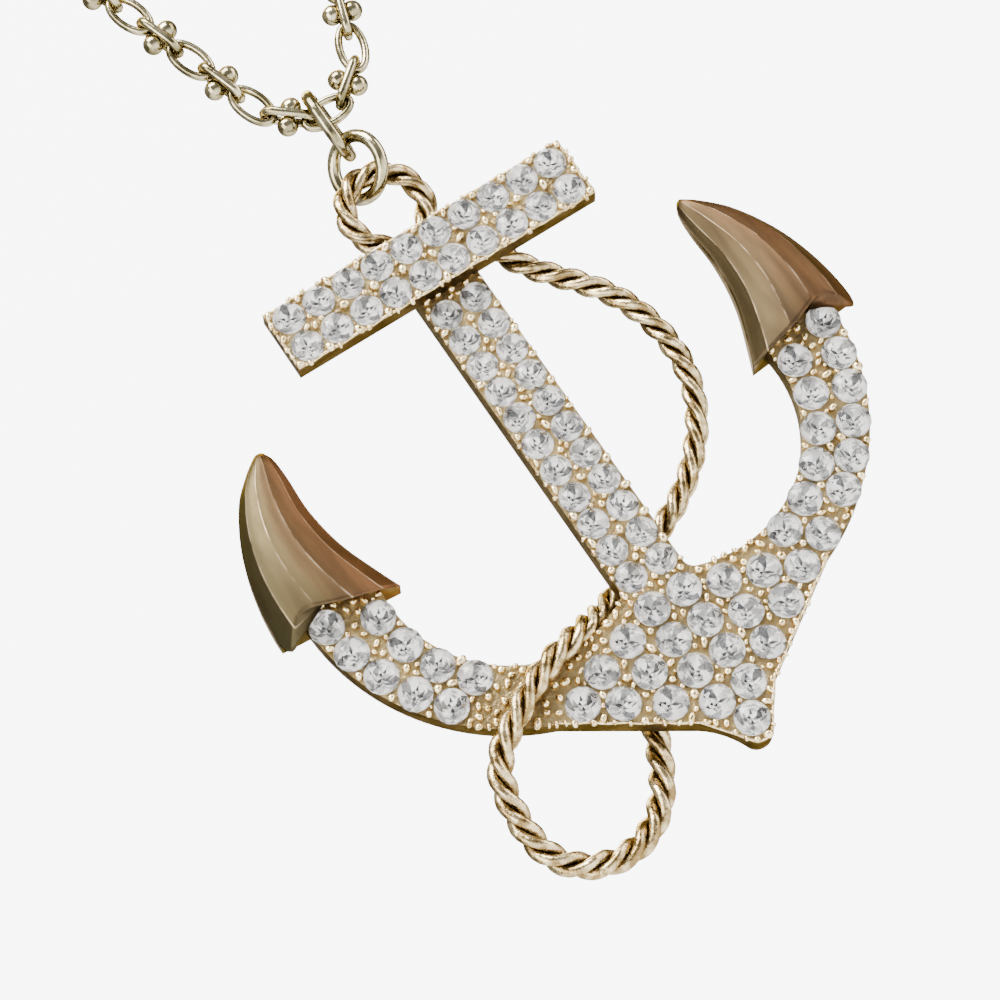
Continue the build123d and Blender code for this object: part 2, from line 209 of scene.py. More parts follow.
BACKDROP = [(0.950, (0.0, 0.0, 0.0)), (0.979, (0.93, 0.94, 0.98))]
WORLD_STRENGTH = 8.0


def place(x, y, z):
    """A point given from the stock's middle, in the necklace's frame and in metres."""
    return (Vector((x, y, z)) + STOCK_MIDDLE) * MM


# Materials

class Value:
    """A number or colour on its way between shader nodes. Arithmetic on it adds Math nodes."""

    def __init__(self, nodes, socket):
        self.nodes = nodes
        self.socket = socket

    def _math(self, operation, first, second):
        return self.nodes.add("ShaderNodeMath", {"operation": operation}, {0: first, 1: second})

    def __add__(self, other):
        return self._math("ADD", self, other)

    def __sub__(self, other):
        return self._math("SUBTRACT", self, other)

    def __mul__(self, other):
        return self._math("MULTIPLY", self, other)

    def __rsub__(self, other):
        return self._math("SUBTRACT", other, self)

    def __abs__(self):
        return self.nodes.add("ShaderNodeMath", {"operation": "ABSOLUTE"}, {0: self})

    __radd__ = __add__
    __rmul__ = __mul__


class Nodes:
    """The shader nodes of a material or of the world: add() makes one, and set() feeds the last."""

    def __init__(self, owner, last):
        owner.use_nodes = True
        self.tree = owner.node_tree
        self.last = self.tree.nodes[last]

    def add(self, kind, settings=None, sockets=None, out=0):
        """A node: its settings or a ramp's stops, then its sockets, and which output is used."""
        node = self.tree.nodes.new(kind)
        for key, value in (settings or {}).items():
            if key == "stops":
                stops = node.color_ramp.elements
                while len(stops) < len(value):
                    stops.new(0.5)
                for stop, (position, colour) in zip(stops, value):
                    stop.position = position
                    stop.color = (*colour, 1)
            else:
                setattr(node, key, value)
        for key, value in (sockets or {}).items():
            if isinstance(value, Value):
                self.tree.links.new(value.socket, node.inputs[key])
            else:
                node.inputs[key].default_value = value
        return Value(self, node.outputs[out])

    def set(self, socket, value):
        self.tree.links.new(value.socket, self.last.inputs[socket])


class Finish(Nodes):
    """One material with its usual patterns."""

    def __init__(self, name, shader):
        self.material = bpy.data.materials.new(name)
        super().__init__(self.material, "Principled BSDF")
        for socket, value in shader.items():
            self.last.inputs[socket].default_value = value
        self.here = self.add("ShaderNodeTexCoord", out="Object")

    def attribute(self, name):
        return self.add("ShaderNodeAttribute", {"attribute_name": name}, out="Fac")

    def grain(self, size, detail=3.0, stretch=None):
        """Noise whose features are about size millimetres across."""
        where = self.here
        if stretch:
            where = self.add("ShaderNodeMapping", {}, {"Vector": where, "Scale": stretch})
        return self.add("ShaderNodeTexNoise", {}, {
            "Vector": where, "Scale": 1 / (size * MM), "Detail": detail})

    def between(self, mask, start, end):
        """A colour that goes from start to end as the mask goes from 0 to 1."""
        start, end = (c if isinstance(c, Value) else (*c, 1) for c in (start, end))
        return self.add("ShaderNodeMix", {"data_type": "RGBA"}, {0: mask, 6: start, 7: end}, out=2)

    def clip(self, value, low, high):
        """The value's stretch from low to high, as 0 to 1."""
        return self.add("ShaderNodeMapRange", {}, {0: value, 1: low, 2: high, 3: 0.0, 4: 1.0})

    def bump(self, height, depth, strength=1.0):
        """Relief of a depth in millimetres."""
        self.set("Normal", self.add("ShaderNodeBump", {}, {
            "Height": height, "Distance": depth * MM, "Strength": strength}))


GOLD = {"Metallic": 1.0, "Specular Tint": (0.72, 0.58, 0.36, 1.0)}


def cast_gold():
    """The casting: champagne plate, satin and a little cloudy on its face, with painted shade on its side
    walls.
    """
    gold = Finish("cast_gold", GOLD)
    cloud = gold.clip(gold.grain(2.2), 0.35, 0.68)
    fine = gold.grain(0.22, detail=5.0)
    facing = gold.add("ShaderNodeTexCoord", out="Normal")
    forward = gold.add("ShaderNodeSeparateXYZ", {}, {0: facing}, out="Y")
    flat = gold.clip(abs(forward), 0.55, 0.95)
    face = gold.between(cloud * 0.7 + fine * 0.3, (0.125, 0.085, 0.034), (0.375, 0.28, 0.13))
    # painted shade: walls that face away from the front are coloured dark
    shaded_wall = gold.between(cloud, (0.025, 0.017, 0.007), (0.08, 0.055, 0.025))
    gold.set("Base Color", gold.between(flat, shaded_wall, face))
    gold.set("Roughness", 0.44 + 0.22 * fine - 0.20 * flat)
    gold.bump(fine * 0.6 + gold.grain(0.7) * 0.9, 0.14, 0.9)
    return gold.material


def bead_gold():
    """Prong beads and rims: polished by wear."""
    gold = Finish("bead_gold", GOLD)
    rub = gold.grain(0.5, detail=4.0)
    worn = gold.clip(rub, 0.35, 0.65)
    gold.set("Base Color", gold.between(worn, (0.40, 0.28, 0.11), (0.95, 0.80, 0.48)))
    gold.set("Roughness", 0.14 + 0.22 * rub)
    gold.bump(rub, 0.06, 0.7)
    return gold.material


def fluke_gold():
    """Satin horns: long soft bands, hair scratches that run to the tip, painted highlights along the
    ridges, a painted reflection across them and painted shade on the right one.
    """
    gold = Finish("fluke_gold", GOLD)
    drawn = gold.grain(1.6, stretch=(1.0, 1.0, 0.07))
    hair = gold.grain(0.16, detail=2.0, stretch=(1.0, 1.0, 0.015))
    ridge, warm, deep = (gold.attribute(name) for name in ("ridge", "warm", "deep"))
    # painted reflection: olive on each horn's left side, rose on its right, as the lights fall on them;
    # plate is the horn's colour with it
    cool_reflection = gold.between(gold.clip(warm, 0.0, 0.5), (0.053, 0.047, 0.023), (0.068, 0.048, 0.023))
    plate = gold.between(gold.clip(warm, 0.45, 1.0), cool_reflection, (0.125, 0.056, 0.025))
    # painted shade on the right horn, added to the dark drawn streaks
    streaks_and_shade = gold.clip(drawn, 0.42, 0.62) * 0.4 + deep
    streaked_and_shaded = gold.between(streaks_and_shade, plate, (0.032, 0.022, 0.013))
    # painted highlight along the ridges, broken up by noise
    ridge_highlight = ridge * gold.clip(gold.grain(3.2, detail=4.0), 0.42, 0.66)
    gold.set("Base Color", gold.between(ridge_highlight * 0.5, streaked_and_shaded, (0.50, 0.38, 0.25)))
    scratch = gold.clip(hair, 0.66, 0.72)
    gold.set("Roughness", 0.36 + 0.14 * gold.grain(3.0) + 0.12 * scratch)
    gold.bump(drawn * 0.4 + scratch * 0.2, 0.03, 0.3)
    return gold.material


def wire_gold():
    """Twisted wire: bright and uneven along the strands' crests, with painted shade in the grooves."""
    gold = Finish("wire_gold", GOLD)
    patch = gold.clip(gold.grain(1.1), 0.40, 0.62)
    fine = gold.grain(0.25, detail=4.0)
    # painted shade in the grooves, from how far out each point lies
    groove_shade_mask = gold.clip(gold.attribute("height") + (fine - 0.5) * 0.35, 0.50, 0.88)
    crest = gold.between(patch, (0.19, 0.128, 0.05), (0.58, 0.46, 0.25))
    gold.set("Base Color", gold.between(groove_shade_mask, (0.075, 0.048, 0.018), crest))
    gold.set("Roughness", 0.16 + 0.18 * fine)
    gold.bump(fine * 0.3 + gold.grain(0.75, detail=2.0), 0.11, 0.8)
    return gold.material


def chain_gold():
    """Chain, ring, bail and clasp: pale, slightly olive plate."""
    gold = Finish("chain_gold", GOLD)
    patch = gold.clip(gold.grain(1.8), 0.35, 0.65)
    fine = gold.grain(0.3, detail=4.0)
    gold.set("Base Color", gold.between(patch, (0.13, 0.11, 0.05), (0.45, 0.395, 0.24)))
    gold.set("Roughness", 0.07 + 0.14 * fine)
    gold.bump(fine, 0.03, 0.5)
    return gold.material


def crystal():
    """The upper half of the stones: clear glass."""
    glass = Finish("crystal", {"Transmission Weight": 1.0, "IOR": 1.56, "Roughness": 0.0})
    haze = glass.grain(0.6)
    glass.set("Base Color", glass.between(haze, (0.97, 0.98, 0.98), (1.0, 1.0, 0.99)))
    return glass.material


def silvering():
    """The foil under the stones: painted reflections, from white to near black, behind the facets, and
    worn patches are darker.
    """
    mirror = Finish("silvering", {"Metallic": 0.25})
    worn = mirror.grain(0.5)
    patch = mirror.clip(mirror.grain(0.8, detail=1.0), 0.40, 0.50)
    # the painted reflection of each facet, darker in worn patches
    shade = mirror.attribute("tone") * (0.30 + 0.70 * patch)
    mirror.set("Base Color", mirror.between(shade, (0.022, 0.021, 0.024), (1.0, 0.99, 0.965)))
    mirror.set("Roughness", 0.16 + 0.16 * worn)
    return mirror.material


def floor_paper():
    """Matt pale paper."""
    paper = Finish("floor_paper", {"Roughness": 0.9})
    fibre = paper.grain(4.0)
    paper.set("Base Color", paper.between(fibre, (0.84, 0.85, 0.88), (0.88, 0.89, 0.91)))
    return paper.material


# Meshes and node trees

def new_object(name, data):
    """An object in the scene that shows the given mesh, curve, light or camera."""
    thing = bpy.data.objects.new(name, data)
    bpy.context.scene.collection.objects.link(thing)
    return thing


def mesh_object(name, vertices, faces):
    mesh = bpy.data.meshes.new(name)
    mesh.from_pydata(vertices, [], faces)
    mesh.validate()
    return new_object(name, mesh)


def mark(thing, name, kind, values, domain="POINT"):
    """Writes an attribute on a mesh: one number, or three for a vector, for each point or face."""
    layer = thing.data.attributes.new(name, kind, domain)
    layer.data.foreach_set("vector" if kind == "FLOAT_VECTOR" else "value", values)


class Tree:
    """A Geometry Nodes tree with named inputs."""

    def __init__(self, name, inputs):
        self.tree = bpy.data.node_groups.new(name, "GeometryNodeTree")
        face = self.tree.interface
        face.new_socket("Geometry", in_out="OUTPUT", socket_type="NodeSocketGeometry")
        face.new_socket("Geometry", in_out="INPUT", socket_type="NodeSocketGeometry")
        self.ids = {}
        for label, kind in inputs.items():
            self.ids[label] = face.new_socket(label, in_out="INPUT", socket_type=kind).identifier
        self.start = self.tree.nodes.new("NodeGroupInput")

    def given(self, label):
        return self.start.outputs[label]

    def add(self, kind, settings=None, sockets=None):
        """A node: its settings, then its sockets, where a list is several links to one socket."""
        node = self.tree.nodes.new(kind)
        for key, value in (settings or {}).items():
            setattr(node, key, value)
        for key, value in (sockets or {}).items():
            for link in value if isinstance(value, list) else [value]:
                if isinstance(link, bpy.types.NodeSocket):
                    self.tree.links.new(link, node.inputs[key])
                else:
                    node.inputs[key].default_value = link
        return node.outputs

    def attribute(self, name, kind):
        return self.add("GeometryNodeInputNamedAttribute", {"data_type": kind}, {"Name": name})[0]

    def turn(self):
        """The points' own turn, as a rotation."""
        return self.add("FunctionNodeEulerToRotation", {}, {0: self.attribute("turn", "FLOAT_VECTOR")})[0]

    def math(self, operation, first, second):
        return self.add("ShaderNodeMath", {"operation": operation}, {0: first, 1: second})[0]

    def circle(self, sides, radius):
        return self.add("GeometryNodeCurvePrimitiveCircle", {}, {
            "Resolution": sides, "Radius": radius})["Curve"]

    def moved(self, geometry, **how):
        return self.add("GeometryNodeTransform", {}, {"Geometry": geometry, **how})["Geometry"]

    def joined(self, parts):
        return self.add("GeometryNodeJoinGeometry", {}, {"Geometry": parts})["Geometry"]

    def tube(self, curve, section, more=None):
        """The section carried along the curve."""
        return self.add("GeometryNodeCurveToMesh", {}, {
            "Curve": curve, "Profile Curve": section, **(more or {})})["Mesh"]

    def real(self, geometry):
        return self.add("GeometryNodeRealizeInstances", {}, {"Geometry": geometry})["Geometry"]

    def end(self, geometry):
        painted = self.add("GeometryNodeSetMaterial", {}, {
            "Geometry": self.real(geometry), "Material": self.given("Material")})
        last = self.tree.nodes.new("NodeGroupOutput")
        self.tree.links.new(painted["Geometry"], last.inputs[0])
        return self

    def grow(self, thing, values, name):
        """Runs the tree on an object and returns the result as a plain mesh object."""
        modifier = thing.modifiers.new(name, "NODES")
        modifier.node_group = self.tree
        for label, value in values.items():
            modifier[self.ids[label]] = value
        thing.update_tag()
        bpy.context.view_layer.update()
        shape = thing.evaluated_get(bpy.context.evaluated_depsgraph_get())
        mesh = bpy.data.meshes.new_from_object(shape)
        thing.modifiers.remove(modifier)
        grown = new_object(name, mesh)
        bpy.data.objects.remove(thing)
        return grown


def tend(thing, smooth=True):
    """Merges doubles and turns the faces outwards."""
    shape = bmesh.new()
    shape.from_mesh(thing.data)
    bmesh.ops.remove_doubles(shape, verts=shape.verts, dist=1e-7)
    bmesh.ops.recalc_face_normals(shape, faces=shape.faces)
    for face in shape.faces:
        face.smooth = smooth
    shape.to_mesh(thing.data)
    shape.free()
    return thing


def strew_tree():
    """One pattern set on every point, with its own size and turn."""
    tree = Tree("set_on_points", {"Pattern": "NodeSocketObject", "Material": "NodeSocketMaterial"})
    pattern = tree.add("GeometryNodeObjectInfo", {}, {"Object": tree.given("Pattern")})["Geometry"]
    instances = tree.add("GeometryNodeInstanceOnPoints", {}, {
        "Points": tree.given("Geometry"), "Instance": pattern,
        "Rotation": tree.turn(), "Scale": tree.attribute("size", "FLOAT_VECTOR")})
    return tree.end(instances["Instances"])


def strew(tree, name, points, pattern, material):
    """Sets the pattern on points, each a place, a size and a turn, and takes the pattern away."""
    cloud = mesh_object(name + "_points", [p for p, _, _ in points], [])
    for label, index in (("size", 1), ("turn", 2)):
        mark(cloud, label, "FLOAT_VECTOR", [c for point in points for c in point[index]])
    grown = tree.grow(cloud, {"Pattern": pattern, "Material": material}, name)
    bpy.data.objects.remove(pattern)
    return grown


# Stones and the beads round them

def brilliant():
    """A round brilliant of radius 1: table, stars, kites, girdle and pavilion, table towards -Y."""
    radius = STONE_D / 2
    crown, girdle, depth = STONE_TABLE / radius, STONE_GIRDLE / radius, STONE_DEPTH / radius

    def ring(count, r, y, shift=0.0):
        return [(r * math.cos(a), y, r * math.sin(a))
                for a in (2 * math.pi * (k + shift) / count for k in range(count))]

    table = ring(8, 0.55, -crown)
    middle = ring(8, 0.80, -crown * 0.52, 0.5)
    upper = ring(16, 1.0, 0.0)
    lower = ring(16, 1.0, girdle)
    under = ring(8, 0.58, girdle + depth * 0.42, 0.5)
    star = ring(8, 0.27, girdle + depth * 0.74)
    vertices = table + middle + upper + lower + under + star + [(0, girdle + depth, 0)]
    t, m, u, w, p, s, tip = 0, 8, 16, 32, 48, 56, 64
    faces = [tuple(range(8))]
    for k in range(8):
        n, q = (k + 1) % 8, (k - 1) % 8
        a, b, c = 2 * k, 2 * k + 1, (2 * k + 2) % 16
        faces += [(t + k, t + n, m + k), (t + k, m + k, u + a, m + q)]
        faces += [(m + k, u + b, u + a), (m + k, u + c, u + b)]
        faces += [(u + a, u + b, w + b, w + a), (u + b, u + c, w + c, w + b)]
        faces += [(p + k, w + a, w + b), (p + k, w + b, w + c), (w + a, p + k, s + k, p + q)]
        faces += [(s + k, p + k, s + n), (tip, s + k, s + n)]
    stone = mesh_object("brilliant", vertices, faces)
    # painted reflections: how bright the foil behind each facet of the pavilion shows, for the stones'
    # dark flecks
    halves = (1.0, 0.6, 1.0, 0.85, 0.12, 1.0, 0.7, 1.0)
    mains = (0.9, 1.0, 0.25, 1.0, 0.75, 0.5, 1.0, 0.08)
    darts = (0.0, 1.0, 0.15, 0.9, 0.05, 0.5, 0.0, 1.0)
    hearts = (1.0, 0.0, 0.6, 1.0, 0.0, 1.0, 0.2, 1.0)
    facet_reflections = [1.0]
    for k in range(8):
        facet_reflections += [1.0] * 6
        facet_reflections += [halves[k], halves[(k + 3) % 8], mains[k], darts[k], hearts[k]]
    mark(stone, "tone", "FLOAT", facet_reflections, "FACE")
    return tend(stone, smooth=False)


def stone_places(*nodes):
    """The middle of each stone in these CAD nodes, where its girdle meets the metal."""
    places = []
    for node in nodes:
        shape = bmesh.new()
        shape.from_mesh(frame["nodes"][node].data)
        bmesh.ops.remove_doubles(shape, verts=shape.verts, dist=1e-6)
        shape.verts.ensure_lookup_table()
        seen = set()
        for start in shape.verts:
            if start.index in seen:
                continue
            group, queue = [], [start]
            seen.add(start.index)
            while queue:
                vertex = queue.pop()
                group.append(vertex.co.copy())
                for edge in vertex.link_edges:
                    other = edge.other_vert(vertex)
                    if other.index not in seen:
                        seen.add(other.index)
                        queue.append(other)
            xs, ys, zs = zip(*group)
            girdle = min(ys) + STONE_CROWN * MM
            places.append(Vector(((min(xs) + max(xs)) / 2, girdle, (min(zs) + max(zs)) / 2)))
        shape.free()
    return sorted(places, key=lambda p: (round(p.y, 5), round(p.z, 5), p.x))


def stone_radii(places):
    """Each stone fills the room that its nearest neighbour leaves it."""
    radii = []
    for p in places:
        level = [q for q in places if q is not p and abs(q.y - p.y) < SAME_FACE * MM]
        nearest = min((p - q).length for q in level)
        radii.append(min(max(nearest / MM - STONE_APART, STONE_D), STONE_D_MOST) / 2 * MM)
    return radii


def flat_map(spots):
    """Finds the nearest of the spots across the face, whatever their depth."""
    tree = KDTree(len(spots))
    for index, p in enumerate(spots):
        tree.insert((p.x, 0, p.z), index)
    tree.balance()
    return tree


def set_stones(places, radii, tree):
    dice = random.Random(7)
    points, levels = [], []
    for p, r in zip(places, radii):
        spin = dice.uniform(0, 2 * math.pi)
        tilt = [dice.uniform(-STONE_TILT, STONE_TILT) for _ in range(2)]
        lift = max(STONE_LIFT, (r / MM - SEAT_R) * STONE_STAND) * MM
        points.append((p - Vector((0, lift, 0)), (r, r, r), (tilt[0], spin, tilt[1])))
        levels.append(p.y - lift + STONE_GIRDLE * FOIL_EDGE * MM)
    stones = strew(tree, "stones", points, brilliant(), materials["crystal"])
    stones.data.materials.clear()
    for finish in ("crystal", "silvering"):
        stones.data.materials.append(materials[finish])
    spots = flat_map(places)
    for polygon in stones.data.polygons:
        centre = polygon.center
        under = centre.y > levels[spots.find((centre.x, 0, centre.z))[1]]
        polygon.material_index = 1 if under else 0
    return stones


def bead():
    """A small ball of 80 faces. Where it is set, about half of it is sunk in the metal."""
    shape = bmesh.new()
    bmesh.ops.create_icosphere(shape, subdivisions=2, radius=1.0)
    mesh = bpy.data.meshes.new("bead")
    shape.to_mesh(mesh)
    shape.free()
    for polygon in mesh.polygons:
        polygon.use_smooth = True
    return new_object("bead", mesh)


def on_metal(metal, x, y, z):
    """Whether a look from 10 mm in front meets the metal at the depth y, and not a seat or a gap."""
    hit = metal.ray_cast(Vector((x, y - 0.01, z)), Vector((0, 1, 0)), 0.02)[0]
    return hit is not None and abs(hit.y - y) < 0.2 * MM


def bead_places(places, radii, rope):
    """(place, radius) of beads on the metal: the widest clearances between the stones first."""
    dice = random.Random(5)
    in_front = [p for p in rope if p.y < place(0, PLATE_FACE - SAME_FACE, 0).y]
    step, edge, cell = BEAD_STEP * MM, BEAD_EDGE * MM, BEAD_CELL * MM
    sides = ((edge, 0), (-edge, 0), (0, edge), (0, -edge))
    reach = int(BEAD_REACH * MM / step) + 1
    found = []
    for node, level in (("anchor_body", PLATE_FACE), ("stock_bar", STOCK_FACE)):
        shape = bmesh.new()
        shape.from_mesh(frame["nodes"][node].data)
        metal = BVHTree.FromBMesh(shape)
        shape.free()
        y = place(0, level, 0).y
        stones = [(p, r) for p, r in zip(places, radii) if abs(p.y - y) < SAME_FACE * MM]
        tree = flat_map([p for p, _ in stones])
        spots = set()
        for p, _ in stones:
            for i in range(-reach, reach + 1):
                for k in range(-reach, reach + 1):
                    spots.add((round(p.x / step) + i, round(p.z / step) + k))
        scored = []
        for i, k in spots:
            x, z = i * step, k * step
            room = min(distance - stones[index][1] for _, index, distance in tree.find_n((x, 0, z), 3))
            if not BEAD_ROOM * MM < room < (BEAD_REACH - STONE_D / 2) * MM:
                continue
            if not on_metal(metal, x, y, z):
                continue
            inside = all(on_metal(metal, x + a, y, z + b) for a, b in sides)
            by_rope = any(math.hypot(p.x - x, p.z - z) < BARE_HALF * MM for p in in_front)
            if room > BARE_ROOM * MM and by_rope:
                continue
            size = min(room + BEAD_OVER * MM, (BEAD_MOST if inside else BEAD_MOST_AT_EDGE) * MM)
            scored.append((-size, dice.random(), i, k))
        scored.sort()
        # the roomiest places are taken first, and each bead keeps the others at a distance
        taken = {}
        for size, _, i, k in scored:
            x, z, r = i * step, k * step, -size * dice.uniform(0.65, 1.0)
            spread = dice.uniform(1.05, 1.7) if r < BEAD_SMALL * MM else dice.uniform(1.3, 2.8)
            home = (int(x // cell), int(z // cell))
            cells = [(home[0] + a, home[1] + c) for a in (-1, 0, 1) for c in (-1, 0, 1)]
            near = [other for around in cells for other in taken.get(around, ())]
            if all(math.hypot(x - bx, z - bz) > (r + br) * spread for bx, bz, br in near):
                taken.setdefault(home, []).append((x, z, r))
        found += [(Vector((x, y, z)), r) for group in taken.values() for x, z, r in group]
    return found


def set_beads(places, radii, tree):
    dice = random.Random(11)
    points = []
    for p, r in bead_places(places, radii, rope_line()):
        wide = dice.uniform(0.78, 1.35)
        turn = (0, dice.uniform(0, math.pi), 0)
        size = (r * wide, max(r, BEAD_HIGH * MM), r / wide)
        points.append((p + Vector((0, -BEAD_RAISE * MM, 0)), size, turn))
    return strew(tree, "prong_beads", points, bead(), materials["bead_gold"])


# Rims along the edges

def straight(start, end):
    count = max(1, int(math.dist(start, end) / RIM_STEP))
    return [(start[0] + (end[0] - start[0]) * k / count, start[1] + (end[1] - start[1]) * k / count)
            for k in range(count + 1)]


def at_height(circle, z):
    cx, cz, r = circle
    return cx + math.sqrt(r * r - (z - cz) ** 2), z


def below_at(circle, x):
    cx, cz, r = circle
    return x, cz - math.sqrt(r * r - (x - cx) ** 2)


def outline_paths():
    """Edges of the front that have a rim: the crown's foot and the whole stock."""
    half = straight(below_at(BACK, CROWN_KNEE), CROWN_WAIST) + CROWN_FOOT
    foot = half + [TIP] + [(-x, z) for x, z in reversed(half)]
    x, z = STOCK_HALF
    corners = [(-x, -z), (x, -z), (x, z), (-x, z)]
    stock = []
    for a, b in zip(corners, corners[1:] + corners[:1]):
        stock += straight(a, b)[:-1]
    return [(foot, PLATE_FACE, False), (stock, STOCK_FACE, True)]


def wavy(path, closed):
    """The path's points, each with its way inwards, which waves a little from stone to stone."""
    moved, run = [], 0.0
    for k, (x, z) in enumerate(path):
        ahead = path[(k + 1) % len(path)] if closed or k + 1 < len(path) else path[k]
        behind = path[k - 1] if closed or k else path[k]
        dx, dz = ahead[0] - behind[0], ahead[1] - behind[1]
        size = math.hypot(dx, dz) or 1.0
        if k:
            run += math.dist(path[k - 1], (x, z))
        push = RIM_INSET + RIM_WAVE * math.cos(2 * math.pi * run / RIM_PERIOD)
        moved.append((x, z, -dz / size * push, dx / size * push))
    return moved


def rim_tree():
    """A thin wire laid along a curve."""
    tree = Tree("rim_wire", {"Radius": "NodeSocketFloat", "Material": "NodeSocketMaterial"})
    section = tree.circle(6, tree.given("Radius"))
    return tree.end(tree.tube(tree.given("Geometry"), section, {"Fill Caps": True}))


def curve_object(name, paths):
    """Curves through the paths, each with its points in metres and whether it is closed."""
    data = bpy.data.curves.new(name, "CURVE")
    data.dimensions = "3D"
    for points, closed in paths:
        spline = data.splines.new("POLY")
        spline.points.add(len(points) - 1)
        for point, co in zip(spline.points, points):
            point.co = (*co, 1.0)
        spline.use_cyclic_u = closed
    return new_object(name, data)


def rims():
    """The crown's foot runs the other way round than the stock, so its way inwards is turned."""
    paths = []
    for path, level, closed in outline_paths():
        side = 1 if closed else -1
        bent = [place(x + dx * side, level - RIM_RAISE, z + dz * side)
                for x, z, dx, dz in wavy(path, closed)]
        paths.append((bent, closed))
    rail = curve_object("rim_paths", paths)
    values = {"Radius": RIM_R * MM, "Material": materials["bead_gold"]}
    return tend(rim_tree().grow(rail, values, "rims"))


# Flukes

def through(rows, share):
    """The values at a share, on a smooth curve through rows of (share, value, value...)."""
    share = min(max(share, rows[0][0]), rows[-1][0])
    k = max(i for i in range(len(rows) - 1) if rows[i][0] <= share)
    low, high = rows[k], rows[k + 1]
    before, after = rows[max(k - 1, 0)], rows[min(k + 2, len(rows) - 1)]
    gap = high[0] - low[0]
    t = (share - low[0]) / gap
    values = []
    for j in range(1, len(low)):
        rise_low = (high[j] - before[j]) / (high[0] - before[0]) * gap
        rise_high = (after[j] - low[j]) / (after[0] - low[0]) * gap
        values.append((2 * t ** 3 - 3 * t ** 2 + 1) * low[j] + (t ** 3 - 2 * t ** 2 + t) * rise_low
                      + (3 * t ** 2 - 2 * t ** 3) * high[j] + (t ** 3 - t ** 2) * rise_high)
    return values


def fluke(side):
    """A ridged horn: facets that run from an arched base to the tip. side: 1 right, -1 left."""
    inner = at_height(BOW, FLUKE_BASE)[0] - FLUKE_LIPS[0]
    width = at_height(BACK, FLUKE_BASE)[0] + FLUKE_LIPS[1] - inner
    swell = FLUKE_SWELL if side < 0 else 0.0
    columns = []
    for (a, high_a), (b, high_b) in zip(FLUKE_RIDGES, FLUKE_RIDGES[1:]):
        for t in FLUKE_FACET:
            across, ridge = a + (b - a) * t, 1.0 if t == 0.0 else 0.0
            flat = high_a + (high_b - high_a) * t
            smooth = through(FLUKE_RIDGES, across)[0]
            high = FLUKE_FLAT * flat + FLUKE_ROUND * smooth + FLUKE_RIDGE_RISE * ridge
            columns.append((across, high, ridge))
    columns.append((1.0, FLUKE_RIDGES[-1][1], 1.0))

    def point(across, high, share):
        left, right, depth, back = through(FLUKE_SECTIONS, share)
        x = inner + (left + (right - left) * across) * width + swell * across
        rear = -PLATE_FACE - back * FLUKE_T
        return x, rear - high * depth * FLUKE_T * (1 - back), FLUKE_BASE + share * FLUKE_H

    def base_share(across):
        """The height at which a column starts: where it meets the arch, by a few rounds of nearing."""
        share = 0.05
        for _ in range(12):
            x = point(across, 0, share)[0] - swell * across
            share = 0.5 * share + 0.5 * through(FLUKE_ARCH, (x - inner) / width)[0]
        return share

    ring = columns + [(1.0, 0.0, 0.0), (0.0, 0.0, 0.0)]
    starts = [base_share(across) for across, _, _ in ring]
    loops = []
    for row in range(FLUKE_ROWS + 1):
        v = row / FLUKE_ROWS
        loops.append([point(across, high, start + (1 - start) * v)
                      for (across, high, _), start in zip(ring, starts)])
    middle = [sum(p[i] for p in loops[0]) / len(ring) for i in range(3)]
    lip = [tuple(p[i] + (middle[i] - p[i]) * FLUKE_LIP_IN for i in range(3)) for p in loops[0]]
    loops = [lip] + loops
    vertices = [place(side * x, y, z) for loop in loops for x, y, z in loop]
    n = len(ring)
    faces = []
    for row in range(len(loops) - 1):
        for i in range(n):
            j = (i + 1) % n
            faces.append((row * n + i, row * n + j, (row + 1) * n + j, (row + 1) * n + i))
    vertices.append(place(side * middle[0], middle[1], middle[2] + FLUKE_HOLLOW))
    hub = len(vertices) - 1
    faces += [(i, hub, (i + 1) % n) for i in range(n)]
    faces.append(tuple((len(loops) - 1) * n + i for i in range(n)))
    horn = mesh_object("fluke_right_horn" if side > 0 else "fluke_left_horn", vertices, faces)
    # the ridge lines, which the material gives a painted highlight
    mark(horn, "ridge", "FLOAT", [ridge for _ in loops for _, _, ridge in ring] + [0.0])
    # painted reflection across the horn, from olive on its left to rose on its right
    painted_tints = [0.25 + 0.75 * across if side > 0 else 1 - across for across, _, _ in ring]
    mark(horn, "warm", "FLOAT", painted_tints * len(loops) + [0.5])
    # painted shade on the right horn
    mark(horn, "deep", "FLOAT", [FLUKE_PAINTED_SHADE if side > 0 else 0.0] * len(vertices))
    horn.data.materials.append(materials["fluke_gold"])
    return tend(horn)


# Twisted wire

def spline_through(points, count):
    """A smooth curve through the points: natural cubic in the distance along them."""
    knots = [0.0]
    for a, b in zip(points, points[1:]):
        knots.append(knots[-1] + (b - a).length)
    n = len(points)
    gaps = [knots[k + 1] - knots[k] for k in range(n - 1)]
    # the second derivatives, by forward and back substitution
    lower, rhs = [0.0] * n, [Vector((0, 0, 0))] * n
    for k in range(1, n - 1):
        slope = 6 * ((points[k + 1] - points[k]) / gaps[k] - (points[k] - points[k - 1]) / gaps[k - 1])
        pivot = 2 * (gaps[k - 1] + gaps[k]) - gaps[k - 1] * lower[k - 1]
        lower[k] = gaps[k] / pivot
        rhs[k] = (slope - gaps[k - 1] * rhs[k - 1]) / pivot
    bend = [Vector((0, 0, 0))] * n
    for k in range(n - 2, 0, -1):
        bend[k] = rhs[k] - lower[k] * bend[k + 1]
    line = []
    for i in range(count + 1):
        s = knots[-1] * i / count
        k = max(j for j in range(n - 1) if knots[j] <= s + 1e-12)
        h = gaps[k]
        a, b = (knots[k + 1] - s) / h, (s - knots[k]) / h
        line.append(points[k] * a + points[k + 1] * b
                    + ((a ** 3 - a) * bend[k] + (b ** 3 - b) * bend[k + 1]) * (h * h / 6))
    return line


